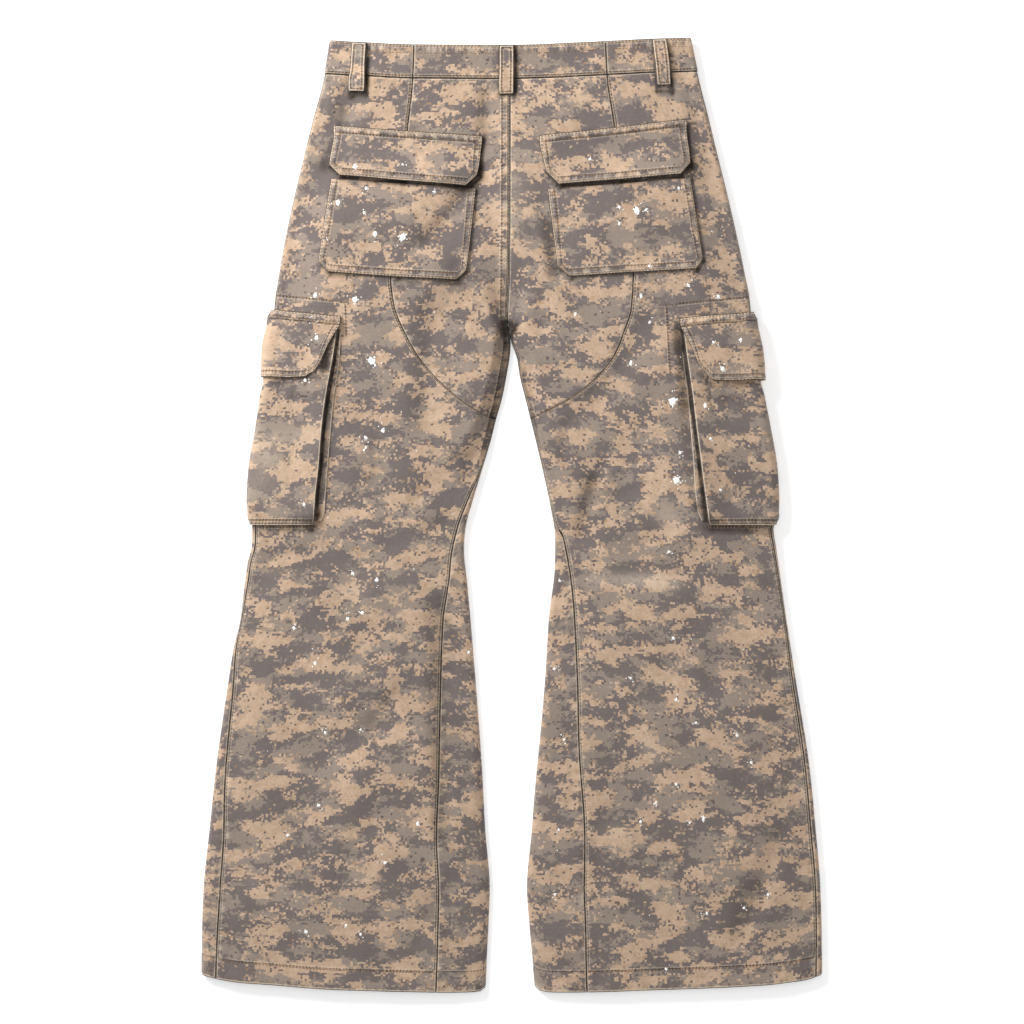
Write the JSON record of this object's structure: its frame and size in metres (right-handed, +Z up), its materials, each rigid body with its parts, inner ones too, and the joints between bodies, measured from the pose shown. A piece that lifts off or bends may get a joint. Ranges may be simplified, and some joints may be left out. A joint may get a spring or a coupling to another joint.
{
  "type": "cargo pants laid out flat, back side up",
  "caption": "Flared cargo pants in pixel camouflage cloth, laid flat face down, with flap back pockets, thigh cargo pockets, belt loops and open hems.",
  "frame": {"origin": "middle of the garment's outline, on the surface that it lies on", "axes": "+X towards the wearer's right leg, +Y from the hems to the waist, +Z up from the surface, out of the back side"},
  "size_m": [0.683, 1.051, 0.0317],
  "materials": {
    "cloth": "washed cotton ripstop, pixel camouflage, worn edges",
    "button": "satin"
  },
  "bodies": {
    "root": {"front_left": "cloth", "front_right": "cloth", "back_leg_left": "cloth", "back_leg_right": "cloth", "back_seat_left": "cloth", "back_seat_right": "cloth", "waistband_back": "cloth", "waistband_left": "cloth", "waistband_right": "cloth", "loop_back_left": "cloth", "loop_back_center": "cloth", "loop_back_right": "cloth", "loop_front_left": "cloth", "loop_front_right": "cloth", "back_pocket_left": "cloth", "back_pocket_right": "cloth", "back_flap_left": "cloth", "back_flap_right": "cloth", "cargo_pocket_left": "cloth", "cargo_pocket_right": "cloth", "cargo_gusset_left": "cloth", "cargo_gusset_right": "cloth", "cargo_flap_left": "cloth", "cargo_flap_right": "cloth", "fly_placket": "cloth", "waist_button": "button"}
  },
  "joints": []
}
